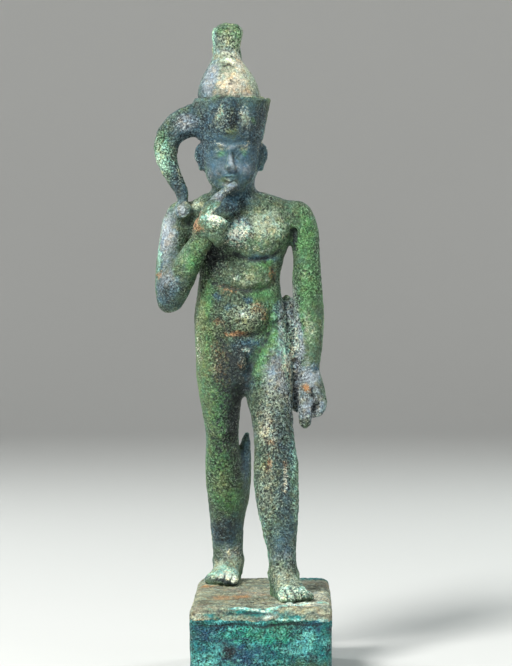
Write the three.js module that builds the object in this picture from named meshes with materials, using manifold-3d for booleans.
// A small cast bronze statuette: a naked child god striding on a plinth, with one finger raised to
// the chin, a sidelock that curls onto the right shoulder, and a tall bulbous crown set in a flared
// one with a cobra on its front. Millimetres, +Z up. The figure faces -Y, so its own right hand is on -X.
// The origin is the middle of the plinth's underside.
import * as THREE from 'three';
import { mergeVertices } from 'three/addons/utils/BufferGeometryUtils.js';
import Module from 'manifold-3d';

const wasm = await Module();
wasm.setup();

// Driving dimensions of the plinth
const PLINTH_WIDTH = 39.5;
const PLINTH_DEPTH = 74;
const PLINTH_HEIGHT = 24;
const PLINTH_EDGE = 2.4; // rounding of the worn upper edge
const PLINTH_CORNER = 3; // rounding of the upright corners
const PLINTH_TAPER = 0.985; // the foot of the block against its top

// Every station below is [x, y, z, half width, half depth in front, half depth behind], with z
// measured up from the soles. A station with no last figure is as deep behind as in front.
const TORSO = [
  [-5.6, 14.6, 56, 7.5, 5.0, 6.5],
  [-5.7, 14.6, 61, 12.4, 7.2, 9.2],
  [-5.8, 14.6, 68, 13.9, 8.0, 9.8],
  [-6.1, 14.4, 73.5, 14.0, 8.6, 9.0],
  [-6.6, 14.1, 79, 13.6, 8.9, 8.0],
  [-7.0, 13.9, 84, 12.7, 8.3, 7.3],
  [-6.9, 13.8, 88.5, 11.8, 7.7, 7.2],
  [-6.8, 13.8, 93, 12.0, 7.7, 7.7],
  [-6.6, 14.0, 98, 13.2, 8.0, 8.3],
  [-6.6, 14.2, 103, 15.6, 8.0, 8.6],
  [-6.7, 14.4, 107.5, 17.6, 7.0, 8.0],
  [-6.9, 14.6, 111.2, 16.0, 5.6, 6.6],
  [-7.2, 14.8, 113.8, 12.4, 4.4, 5.2],
  [-7.6, 14.9, 115.6, 7.8, 3.4, 4.2],
];
const NECK = [
  [-8.0, 14.8, 109, 6.8, 5.4, 6.0],
  [-8.3, 14.6, 113.5, 6.5, 5.4, 5.9],
  [-8.7, 14.4, 118, 6.4, 5.4, 6.2],
  [-9.1, 14.4, 123, 6.6, 5.6, 7.0],
];
const SHOULDERS = [
  [-23.6, 14.3, 108.0, 4.4, 4.4],
  [-19.2, 14.4, 108.4, 5.2, 5.0],
  [-13.0, 14.4, 108.6, 5.6, 5.4],
  [-1.2, 14.4, 108.8, 5.8, 5.4],
  [5.4, 14.5, 108.4, 5.6, 5.0],
  [10.2, 14.5, 107.8, 4.6, 4.4],
];
const RIGHT_LEG = [
  [-12.2, 14.6, 77, 5.8, 6.6, 6.6],
  [-12.8, 14.8, 70, 7.1, 7.9, 8.8],
  [-12.7, 15.2, 62, 7.0, 7.7, 8.6],
  [-12.4, 16.0, 55, 6.3, 7.0, 7.4],
  [-12.3, 17.0, 49.5, 5.4, 6.1, 6.4],
  [-12.1, 18.0, 45, 4.9, 5.5, 5.6],
  [-12.0, 18.8, 41, 4.9, 5.1, 5.7],
  [-11.6, 19.9, 36, 5.5, 4.9, 6.5],
  [-11.1, 20.8, 31.5, 6.0, 4.8, 6.9],
  [-10.8, 21.8, 27, 6.0, 4.7, 6.6],
  [-10.7, 23.0, 22, 5.6, 4.5, 5.6],
  [-10.8, 24.4, 16, 4.9, 4.3, 4.7],
  [-10.6, 25.6, 10.5, 4.6, 4.3, 4.4],
  [-10.5, 26.6, 6, 4.5, 4.5, 4.5],
  [-10.6, 27.2, 2, 4.4, 4.6, 4.6],
];
const LEFT_LEG = [
  [0.6, 14.0, 77, 5.6, 6.4, 6.6],
  [1.2, 13.2, 70, 7.2, 8.0, 8.8],
  [1.6, 12.2, 62, 7.0, 7.8, 8.6],
  [2.0, 10.4, 54.5, 6.9, 7.2, 7.6],
  [2.8, 8.4, 49.5, 6.1, 6.6, 6.6],
  [3.2, 6.8, 45.5, 5.9, 6.2, 6.0],
  [3.6, 5.0, 41, 6.1, 5.8, 6.2],
  [3.9, 2.8, 36, 6.6, 5.5, 7.0],
  [4.0, 0.5, 31, 6.6, 5.2, 7.2],
  [4.3, -1.6, 26.5, 6.3, 4.9, 6.6],
  [4.7, -3.7, 22, 5.8, 4.6, 5.7],
  [5.2, -5.9, 17, 4.9, 4.4, 4.8],
  [5.6, -7.8, 12.5, 4.1, 4.2, 4.3],
  [6.0, -9.6, 8, 4.1, 4.3, 4.3],
  [6.6, -11.0, 3, 4.4, 4.6, 4.6],
];
const LEFT_ARM = [
  [9.4, 14.6, 113.2, 3.0, 3.2],
  [10.4, 14.6, 110.2, 4.0, 4.4],
  [11.4, 14.6, 106.5, 4.5, 4.9],
  [12.2, 14.5, 102, 4.3, 5.0],
  [12.8, 14.4, 96, 3.9, 4.7],
  [12.8, 14.3, 90, 4.4, 4.5],
  [13.1, 14.0, 84.5, 4.5, 4.4],
  [13.6, 13.4, 78.5, 4.5, 4.4],
  [13.8, 12.8, 73, 4.1, 4.2],
  [13.6, 12.4, 68, 3.4, 3.6],
  [13.4, 12.2, 64, 3.1, 3.3],
  [13.9, 12.2, 60, 3.6, 4.2],
  [14.6, 12.4, 56, 4.2, 5.2],
  [14.7, 12.6, 52.5, 4.1, 5.2],
  [14.8, 12.8, 50.6, 3.3, 4.2],
];
const RIGHT_ARM = [
  [-22.4, 14.6, 112.8, 2.8, 3.4],
  [-24.0, 14.4, 109.4, 4.2, 4.6],
  [-25.3, 13.9, 105, 4.7, 5.0],
  [-26.0, 13.1, 100, 4.5, 4.8],
  [-26.8, 12.0, 94, 4.5, 4.6],
  [-27.2, 10.6, 88, 4.4, 4.5],
  [-27.6, 9.4, 82.6, 3.8, 4.2],
];
const RIGHT_FOREARM = [
  [-28.8, 10.2, 80.6, 2.8, 3.4],
  [-26.9, 9.0, 84.6, 4.4, 4.5],
  [-23.9, 7.2, 90.6, 4.4, 4.5],
  [-20.8, 5.2, 96.2, 3.9, 4.0],
  [-17.9, 3.4, 100.6, 3.2, 3.4],
  [-15.6, 2.4, 104.0, 3.2, 3.4],
];
const RIGHT_PALM = [
  [-18.4, 3.2, 101.4, 2.6, 2.8],
  [-16.6, 2.4, 104.4, 3.9, 3.3],
  [-14.4, 1.8, 106.6, 3.9, 3.2],
  [-12.4, 1.6, 107.6, 2.9, 2.4],
];
const POINTING_FINGER = [
  [-17.0, 1.6, 107.4, 2.0],
  [-15.4, 1.2, 110.6, 1.75],
  [-12.6, 1.4, 113.9, 1.45],
  [-9.6, 2.6, 116.2, 1.15],
  [-7.4, 4.4, 117.4, 0.95],
];
const POINTING_THUMB = [
  [-18.0, 1.4, 104.6, 1.6],
  [-16.6, -0.6, 108.6, 1.5],
  [-13.8, -0.6, 111.6, 1.3],
  [-12.0, 0.2, 113.0, 1.05],
];
const HANGING_THUMB = [
  [12.6, 9.2, 60.4, 1.7],
  [12.1, 7.8, 56.6, 2.1],
  [12.3, 7.3, 51.6, 2.15],
  [12.4, 7.6, 46.4, 1.8],
];
const SIDELOCK = [
  [-15.4, 13.6, 136.6, 5.8, 5.0],
  [-20.4, 13.4, 136.2, 5.3, 4.6],
  [-23.2, 13.0, 135.4, 4.9, 4.3],
  [-25.8, 12.6, 133.9, 4.4, 4.0],
  [-27.6, 12.2, 131.4, 4.0, 3.7],
  [-28.4, 11.9, 128.4, 3.7, 3.5],
  [-28.2, 11.6, 125.2, 3.3, 3.2],
  [-27.0, 11.2, 121.8, 2.8, 2.9],
  [-25.2, 10.8, 118.4, 2.3, 2.5],
  [-23.7, 10.4, 115.4, 1.9, 2.2],
  [-23.0, 9.8, 112.6, 1.8, 2.1],
];
const SKULL = [
  [-9.4, 8.4, 115.2, 2.4, 1.9, 3.6],
  [-9.4, 10.4, 116.5, 4.7, 4.6, 5.0],
  [-9.4, 12.4, 118.2, 6.4, 7.1, 7.0],
  [-9.3, 13.6, 120.8, 7.6, 8.5, 8.6],
  [-9.3, 14.0, 123.6, 8.3, 8.8, 9.4],
  [-9.3, 14.1, 126.6, 8.6, 8.7, 10.0],
  [-9.3, 14.2, 130.2, 8.7, 9.0, 10.3],
  [-9.3, 14.2, 133.5, 8.4, 8.8, 10.2],
];
const RED_CROWN = [
  [-9.3, 14.2, 130.4, 8.9, 9.5, 10.9],
  [-9.3, 14.2, 131.2, 9.4, 10.0, 11.4],
  [-9.2, 14.3, 134.5, 9.9, 10.4, 11.7],
  [-9.1, 14.4, 138.5, 10.6, 10.8, 12.0],
  [-9.0, 14.5, 142.0, 11.3, 11.3, 12.4],
  [-9.0, 14.5, 143.0, 10.9, 10.9, 12.0],
];
const WHITE_CROWN = [
  [-9.7, 14.6, 140, 9.7, 9.4, 9.6],
  [-10.0, 14.7, 144.5, 9.3, 9.1, 9.4],
  [-10.2, 14.9, 148, 8.2, 8.1, 8.5],
  [-10.4, 15.1, 151, 6.6, 6.5, 6.9],
  [-10.6, 15.3, 153.4, 4.9, 4.9, 5.3],
  [-10.8, 15.4, 155.6, 3.9, 4.0, 4.5],
  [-10.9, 15.4, 157.6, 3.8, 3.8, 4.2],
  [-10.8, 15.4, 159.8, 4.3, 4.3, 4.5],
  [-10.7, 15.4, 162.4, 4.2, 4.2, 4.4],
  [-10.5, 15.4, 165.0, 3.0, 3.0, 3.0],
];
const BACK_SPIRE = [
  [-9.2, 24.2, 138, 5.2, 2.2],
  [-9.6, 24.0, 144, 5.0, 1.9],
  [-10.1, 22.6, 150, 4.8, 1.7],
  [-10.6, 20.6, 155, 4.7, 1.6],
  [-10.8, 19.4, 159, 4.6, 1.5],
  [-10.8, 19.2, 161.6, 3.6, 1.3],
];
const COBRA = [
  [-9.6, 4.4, 131.6, 1.5, 0.9],
  [-9.6, 4.1, 134.4, 2.1, 1.2],
  [-9.5, 3.7, 137.6, 1.9, 1.3],
  [-9.5, 3.2, 140.6, 1.2, 1.3],
  [-9.5, 2.9, 143.4, 1.2, 1.2],
];
const CALF_FIN = [
  [-4.7, 21.6, 45.0, 0.5, 0.8],
  [-5.4, 22.2, 41.4, 1.7, 2.0],
  [-5.9, 22.8, 37.0, 2.3, 2.8],
  [-6.0, 23.4, 31.0, 2.4, 3.2],
  [-6.2, 24.0, 25.0, 2.2, 2.8],
  [-7.6, 24.6, 18.5, 1.6, 1.8],
];
const ARM_WEB = [
  [6.6, 16.2, 86.0, 1.4, 1.4],
  [8.2, 16.2, 80.5, 2.8, 2.0],
  [8.6, 15.8, 74.0, 3.2, 2.2],
  [8.9, 15.2, 66.0, 3.2, 2.4],
  [9.4, 14.8, 58.0, 3.0, 2.4],
  [9.9, 14.6, 50.4, 1.6, 1.8],
];

// Muscles and soft rounding: [x, y, z of the middle, reach in x, y and z, height]
const TORSO_SWELLS = [
  [-12.6, 6.4, 100, 5.5, 6, 4.2, 1.3], // right breast
  [-0.8, 6.4, 100, 5.5, 6, 4.2, 1.5], // left breast
  [-6.6, 6.2, 94.6, 12, 5, 1.3, -0.8], // crease under the breasts
  [-2.6, 6.4, 91.6, 5.5, 5, 2.6, 0.7], // rib cage
  [-10.6, 6.4, 91.6, 5.5, 5, 2.6, 0.5],
  [-6.8, 5.6, 78.6, 7.2, 6, 4.6, 1.9], // belly
  [-6.8, 5.6, 80.6, 1.2, 5, 1.2, -1.4], // navel
  [-13.4, 7.2, 70.6, 2.4, 5, 3.4, -0.8], // right groin
  [1.2, 7.2, 70.6, 2.4, 5, 3.4, -0.8], // left groin
  [-12.0, 24.4, 66.5, 5.4, 6, 5.6, 2.2], // right buttock
  [0.6, 24.4, 66.5, 5.4, 6, 5.6, 2.2], // left buttock
  [-5.7, 24.6, 66.5, 1.5, 6, 7, -1.6], // cleft
  [-13.2, 22.4, 101.5, 4.8, 5, 5.0, 1.1], // shoulder blades
  [0.2, 22.4, 101.5, 4.8, 5, 5.0, 1.1],
  [-6.6, 22.4, 95, 1.5, 5, 12, -0.9], // hollow of the spine
];
const RIGHT_LEG_SWELLS = [
  [-12.2, 12.6, 45.6, 2.8, 4, 2.6, 0.8], // knee
  [-12.0, 13.4, 41.6, 3.0, 3, 1.5, -0.4],
  [-12.6, 24.0, 57, 5, 4, 6, 0.7], // hamstring
  [-11.4, 27.4, 30.5, 4.2, 4, 5.2, 0.8], // calf
];
const LEFT_LEG_SWELLS = [
  [3.1, 0.8, 46.2, 3.0, 4, 2.8, 0.9],
  [3.5, -0.6, 41.8, 3.2, 3, 1.5, -0.4],
  [1.6, 19.2, 57, 5, 4, 6, 0.7],
  [4.0, 7.8, 31.5, 4.2, 4, 5.2, 0.8],
];
const FACE_SWELLS = [
  [-9.5, 6.0, 116.6, 2.2, 3, 1.5, 0.8], // chin
  [-13.2, 7.4, 122.0, 2.3, 3, 2.2, 0.6], // cheeks
  [-5.8, 7.4, 122.0, 2.3, 3, 2.2, 0.6],
  [-12.7, 6.2, 125.6, 1.9, 3, 1.1, -0.9], // eye sockets
  [-6.3, 6.2, 125.6, 1.9, 3, 1.1, -0.9],
];

const FORWARD = new THREE.Vector3(0, -1, 0);
const UP = new THREE.Vector3(0, 0, 1);
const SMALLEST_END = 0.16; // an end ring never closes to a point
const WELD = 1e-4; // points nearer than this are one

const curveOf = (points) => new THREE.CatmullRomCurve3(points, false, 'catmullrom', 0.5);

// Moves a point outwards where a swell reaches it, and inwards where its height is below zero.
function swell(point, outward, swells) {
  const lift = swells.reduce((sum, [x, y, z, reachX, reachY, reachZ, height]) => {
    const far = Math.hypot((point.x - x) / reachX, (point.y - y) / reachY, (point.z - z) / reachZ);
    return sum + height * Math.exp(-far * far);
  }, 0);
  return point.addScaledVector(outward, lift);
}

// A closed form swept through stations. `level` keeps its sections horizontal; otherwise they are
// square to the line, with `front` as the side that faces forwards. `domes` are the lengths, in
// millimetres, over which the two ends round off, and `full` above 1 squares the sections a little.
function sweep(stations, options) {
  const { sides, rings, level = false, front = FORWARD, domes = [0, 0], full = 1, swells = [] } = options;
  const line = curveOf(stations.map(([x, y, z]) => new THREE.Vector3(x, y, z)));
  const halves = stations.map(([, , , wide, fore = wide, aft = fore]) => new THREE.Vector3(wide, fore, aft));
  const size = curveOf(halves);
  const ends = [line.getPoint(0), line.getPoint(1)];
  const upright = UP.clone().multiplyScalar(Math.sign(ends[1].z - ends[0].z));
  const rounded = domes.some((length) => length > 0);
  const geometry = new THREE.CylinderGeometry(1, 1, 1, sides, rings);
  const unit = geometry.attributes.position;
  const squared = (value) => Math.sign(value) * Math.abs(value) ** (1 / full);

  for (let i = 0; i < unit.count; i++) {
    const even = unit.getY(i) + 0.5;
    const t = rounded ? (1 - Math.cos(Math.PI * even)) / 2 : even;
    const centre = line.getPoint(t);
    const { x: wide, y: fore, z: aft } = size.getPoint(t);
    const along = level ? upright : line.getTangent(t);
    const ahead = front.clone().addScaledVector(along, -front.dot(along)).normalize();
    const across = along.clone().cross(ahead);
    const closing = domes.reduce((scale, length, end) => {
      const short = length > 0 ? Math.max(0, 1 - centre.distanceTo(ends[end]) / length) : 0;
      return Math.min(scale, Math.sqrt(1 - short * short));
    }, 1);
    const scale = Math.max(closing, SMALLEST_END);
    const sideways = squared(unit.getX(i)) * wide * scale;
    const forwards = squared(unit.getZ(i)) * (unit.getZ(i) > 0 ? fore : aft) * scale;
    const outward = across.clone().multiplyScalar(sideways).addScaledVector(ahead, forwards);
    const point = centre.clone().add(outward);
    swell(point, outward.lengthSq() > 0 ? outward.clone().normalize() : outward, swells);
    unit.setXYZ(i, point.x, point.y, point.z);
  }
  return geometry;
}

function ball([x, y, z], [radiusX, radiusY, radiusZ], around = 8, down = 6) {
  return new THREE.SphereGeometry(1, around, down).scale(radiusX, radiusY, radiusZ).translate(x, y, z);
}

// three.js geometry to a closed solid, and back
function solidOf(geometry) {
  const shell = new THREE.BufferGeometry();
  shell.setAttribute('position', geometry.attributes.position.clone());
  shell.setIndex(geometry.index);
  const merged = mergeVertices(shell, WELD);
  const vertProperties = merged.attributes.position.array;
  const triVerts = new Uint32Array(merged.index.array);
  return new wasm.Manifold(new wasm.Mesh({ numProp: 3, vertProperties, triVerts }));
}

function geometryOf(solid) {
  const { vertProperties, triVerts } = solid.getMesh();
  const geometry = new THREE.BufferGeometry();
  geometry.setAttribute('position', new THREE.BufferAttribute(new Float32Array(vertProperties), 3));
  geometry.setIndex(new THREE.BufferAttribute(new Uint32Array(triVerts), 1));
  geometry.computeVertexNormals();
  return geometry;
}

const fuse = (geometries) => geometries.map(solidOf).reduce((whole, piece) => whole.add(piece));

// A foot in its own lengths, from the heel to the toes: [along, half width, height of the instep]
const FOOT_LENGTH = 22;
const FOOT = [
  [0, 2.6, 4.0],
  [2.5, 3.6, 6.4],
  [6.5, 3.9, 8.2],
  [10.5, 4.2, 6.6],
  [14.5, 4.9, 4.6],
  [17.5, 5.3, 3.3],
  [19.4, 5.2, 2.4],
];
const FOOT_MIDDLE = 1.2; // height of the line that a foot is swept along
const SOLE_SPARE = 1; // how far a foot reaches below the soles before it is cut flat

const TOE_COUNT = 5;
const TOE_SPACING = 2.15;
const BIG_TOE_RADIUS = 1.45;
const TOE_THINNING = 0.12; // each toe's radius against the one before it
const TOE_STEP = 0.45; // how far each tip lies behind the one before it
const TOE_SWEEP = 0.08; // and how that grows towards the little toe

// A toe from its joint to its tip: [back from the tip, spread, height], then its half width and its
// half depths above and below against its radius
const TOE = [
  [5.5, 0.92, 1.7, 0.95, 1, 1],
  [2.6, 1, 1.35, 1, 1, 1],
  [0, 1.03, 0.9, 0.95, 0.85, 1],
];

// [x and y of the heel, splay in degrees, side of the big toe: -1 towards -X and +1 towards +X]
const RIGHT_FOOT = [-9.6, 34.8, -9, 1];
const LEFT_FOOT = [4.8, -6.2, 17, -1];

function foot(heelX, heelY, splayDegrees, inner) {
  const turn = THREE.MathUtils.degToRad(splayDegrees);
  const at = (along, sideways, height) => [
    heelX + along * Math.sin(turn) + sideways * Math.cos(turn),
    heelY - along * Math.cos(turn) + sideways * Math.sin(turn),
    height,
  ];
  const instep = FOOT.map(([along, wide, height]) => [
    ...at(along, 0, FOOT_MIDDLE),
    wide,
    height - FOOT_MIDDLE,
    FOOT_MIDDLE + SOLE_SPARE,
  ]);
  const pieces = [sweep(instep, { sides: 10, rings: 7, front: UP, domes: [2.5, 1.5], full: 1.15 })];
  for (let toe = 0; toe < TOE_COUNT; toe++) {
    const radius = BIG_TOE_RADIUS - TOE_THINNING * toe;
    const sideways = inner * TOE_SPACING * ((TOE_COUNT - 1) / 2 - toe);
    const tip = FOOT_LENGTH - TOE_STEP * toe - TOE_SWEEP * toe * toe;
    const stations = TOE.map(([back, spread, height, wide, above, below]) => [
      ...at(tip - back, sideways * spread, height),
      radius * wide,
      radius * above,
      radius * below,
    ]);
    pieces.push(sweep(stations, { sides: 6, rings: 3, front: UP, domes: [0.4, 1.2] }));
  }
  return pieces;
}

function legs() {
  const leg = { sides: 14, rings: 14, level: true };
  return [
    sweep(RIGHT_LEG, { ...leg, swells: RIGHT_LEG_SWELLS }),
    sweep(LEFT_LEG, { ...leg, swells: LEFT_LEG_SWELLS }),
    sweep(CALF_FIN, { sides: 8, rings: 6, level: true }),
    ...foot(...RIGHT_FOOT),
    ...foot(...LEFT_FOOT),
  ];
}

function trunk() {
  return [
    sweep(TORSO, { sides: 24, rings: 18, level: true, domes: [3, 0], full: 1.06, swells: TORSO_SWELLS }),
    sweep(SHOULDERS, { sides: 12, rings: 6, domes: [2.5, 2.5] }),
    sweep(NECK, { sides: 12, rings: 3, level: true }),
    ball([-5.9, 5.6, 67.2], [1.2, 1.9, 2.4]),
    ball([-6.9, 7.0, 65.0], [1.2, 1.6, 1.5]),
    ball([-4.9, 7.0, 65.0], [1.2, 1.6, 1.5]),
  ];
}

// The hanging arm ends in a fist round a short rod, with its thumb straight down the front.
const FIST_FRONT = 9.4; // y of its first finger
const FIST_SPACING = 2.15;

function hangingArm() {
  const pieces = [
    sweep(LEFT_ARM, { sides: 12, rings: 14, level: true, domes: [2.4, 1.6] }),
    sweep(ARM_WEB, { sides: 8, rings: 6, level: true, domes: [2, 2] }),
    sweep(HANGING_THUMB, { sides: 7, rings: 5, domes: [1, 2] }),
    ball([14.6, 8.4, 54.6], [1.9, 2.2, 1.9]), // the rod's end
  ];
  for (let finger = 0; finger < 4; finger++) {
    const y = FIST_FRONT + FIST_SPACING * finger;
    const curl = [
      [17.6, y, 55.4, 1.4],
      [17.2, y, 52.0, 1.5],
      [14.8, y, 50.6, 1.5],
      [11.8, y, 51.6, 1.4],
      [11.2, y, 54.6, 1.2],
    ];
    pieces.push(sweep(curl, { sides: 6, rings: 5, domes: [1, 1] }));
  }
  return pieces;
}

// The raised arm: three fingers are folded into the palm, and the first one points to the chin.
const FOLDED_DROP = 2.3; // each folded finger lies this far below the one before it
const FOLDED_INSET = 0.9; // and is this much shorter

function raisedArm() {
  const pieces = [
    sweep(RIGHT_ARM, { sides: 12, rings: 8, domes: [2.4, 2.6] }),
    sweep(RIGHT_FOREARM, { sides: 12, rings: 8, domes: [3, 1.6] }),
    sweep(RIGHT_PALM, { sides: 9, rings: 5, domes: [1.6, 1.6] }),
    sweep(POINTING_FINGER, { sides: 7, rings: 6, domes: [1, 1] }),
    sweep(POINTING_THUMB, { sides: 6, rings: 4, domes: [1, 1] }),
  ];
  for (let finger = 0; finger < 3; finger++) {
    const drop = FOLDED_DROP * finger;
    const inset = FOLDED_INSET * finger;
    const curl = [
      [-15.6 + 0.2 * inset, -0.2, 107.6 - drop, 1.3],
      [-13.0 - 0.4 * inset, -1.2, 107.0 - drop, 1.4],
      [-10.6 - inset, -0.2, 105.6 - drop, 1.35],
      [-11.6 - inset, 2.6, 104.8 - drop, 1.2],
    ];
    pieces.push(sweep(curl, { sides: 6, rings: 5, front: UP, domes: [1, 1] }));
  }
  return pieces;
}

const HEAD_MIDDLE = -9.3; // x of the middle of the head
const EAR_REACH = 9.1; // from there to each ear

function ear(side) {
  const x = HEAD_MIDDLE + side * EAR_REACH;
  return [
    ball([x, 14.6, 126.6], [1.7, 2.3, 3.6]), // shell
    ball([x - side * 0.3, 13.9, 123.2], [1.3, 1.5, 1.7]), // lobe
  ];
}

function head() {
  const bridge = [
    [-9.5, 5.9, 128.0, 0.8, 0.6],
    [-9.5, 4.9, 125.4, 0.8, 0.9],
    [-9.5, 4.0, 122.9, 1.3, 1.2],
    [-9.5, 4.8, 121.4, 1.6, 1.0],
  ];
  return [
    sweep(SKULL, { sides: 18, rings: 10, level: true, swells: FACE_SWELLS }),
    sweep(bridge, { sides: 6, rings: 4, level: true, domes: [0.5, 0.5] }),
    ball([-9.5, 5.2, 119.9], [2.2, 1.0, 0.55]), // lips
    ball([-9.5, 5.5, 118.8], [1.8, 1.0, 0.6]),
    ball([-12.7, 6.9, 125.5], [1.6, 0.9, 0.7]), // eyes
    ball([-6.3, 6.9, 125.5], [1.6, 0.9, 0.7]),
    ...ear(-1),
    ...ear(1),
  ];
}

// The lock is thick where it leaves the crown and ends in a flat curl on the shoulder.
const CURL_MIDDLE = [-23.3, 9.0, 110.2];
const CURL_RADIUS = 2.7;
const CURL_DEPTH = 3.4;

function sidelock() {
  const [x, y, z] = CURL_MIDDLE;
  const curl = new THREE.CylinderGeometry(CURL_RADIUS, CURL_RADIUS, CURL_DEPTH, 14, 1);
  return [
    sweep(SIDELOCK, { sides: 10, rings: 14, domes: [0, 1] }),
    curl.translate(x, y, z),
    ball([x, y - CURL_DEPTH / 2, z], [2.0, 0.9, 2.0]),
  ];
}

function crowns() {
  return [
    sweep(RED_CROWN, { sides: 22, rings: 5, level: true }),
    sweep(WHITE_CROWN, { sides: 16, rings: 14, level: true, domes: [0, 1.6] }),
    sweep(BACK_SPIRE, { sides: 8, rings: 6, level: true, domes: [0, 1.6] }),
    sweep(COBRA, { sides: 7, rings: 6, level: true, domes: [1, 1] }),
    ball([-9.5, 2.9, 142.0], [1.3, 1.2, 1.3]), // the cobra's head
  ];
}

// Everything above the soles is one casting. Whatever reaches below them is cut off flat.
function figure() {
  const pieces = [legs(), trunk(), hangingArm(), raisedArm(), head(), sidelock(), crowns()].flat();
  const reach = 200; // wider than anything near the soles
  const below = new THREE.BoxGeometry(reach, reach, reach).translate(0, 0, -reach / 2);
  return geometryOf(fuse(pieces).subtract(solidOf(below)));
}

// A block with rounded upright corners and a worn, rounded upper edge, a little narrower at its foot
function plinth() {
  const halfWidth = PLINTH_WIDTH / 2 - PLINTH_EDGE;
  const halfDepth = PLINTH_DEPTH / 2 - PLINTH_EDGE;
  const corner = PLINTH_CORNER - PLINTH_EDGE;
  const outline = new THREE.Shape();
  outline.absarc(halfWidth - corner, halfDepth - corner, corner, 0, Math.PI / 2);
  outline.absarc(-halfWidth + corner, halfDepth - corner, corner, Math.PI / 2, Math.PI);
  outline.absarc(-halfWidth + corner, -halfDepth + corner, corner, Math.PI, 1.5 * Math.PI);
  outline.absarc(halfWidth - corner, -halfDepth + corner, corner, 1.5 * Math.PI, 2 * Math.PI);
  const block = new THREE.ExtrudeGeometry(outline, {
    depth: PLINTH_HEIGHT,
    curveSegments: 3,
    bevelThickness: PLINTH_EDGE,
    bevelSize: PLINTH_EDGE,
    bevelSegments: 3,
  });
  block.translate(0, 0, -PLINTH_EDGE);
  const place = block.attributes.position;
  for (let i = 0; i < place.count; i++) {
    const share = Math.min(1, Math.max(0, place.getZ(i) / PLINTH_HEIGHT));
    const scale = PLINTH_TAPER + (1 - PLINTH_TAPER) * share;
    place.setX(i, place.getX(i) * scale);
    place.setY(i, place.getY(i) * scale);
  }
  const bare = new THREE.BufferGeometry();
  bare.setAttribute('position', place);
  const closed = mergeVertices(bare, WELD);
  const below = new THREE.BoxGeometry(2 * PLINTH_DEPTH, 2 * PLINTH_DEPTH, PLINTH_DEPTH);
  below.translate(0, 0, -PLINTH_DEPTH / 2);
  return geometryOf(solidOf(closed).subtract(solidOf(below)));
}

const METALNESS = 0.35; // most of the surface is a mineral crust

function named(name, geometry, colour, roughness) {
  const material = new THREE.MeshStandardMaterial({ color: colour, roughness, metalness: METALNESS });
  const mesh = new THREE.Mesh(geometry, material);
  mesh.name = name;
  return mesh;
}

const statuette = new THREE.Group();
const standing = new THREE.Group();
standing.position.z = PLINTH_HEIGHT;
standing.add(named('figure', figure(), '#5f7d68', 0.75));
statuette.add(standing);
statuette.add(named('plinth', plinth(), '#3f7f78', 0.8));

export default statuette;
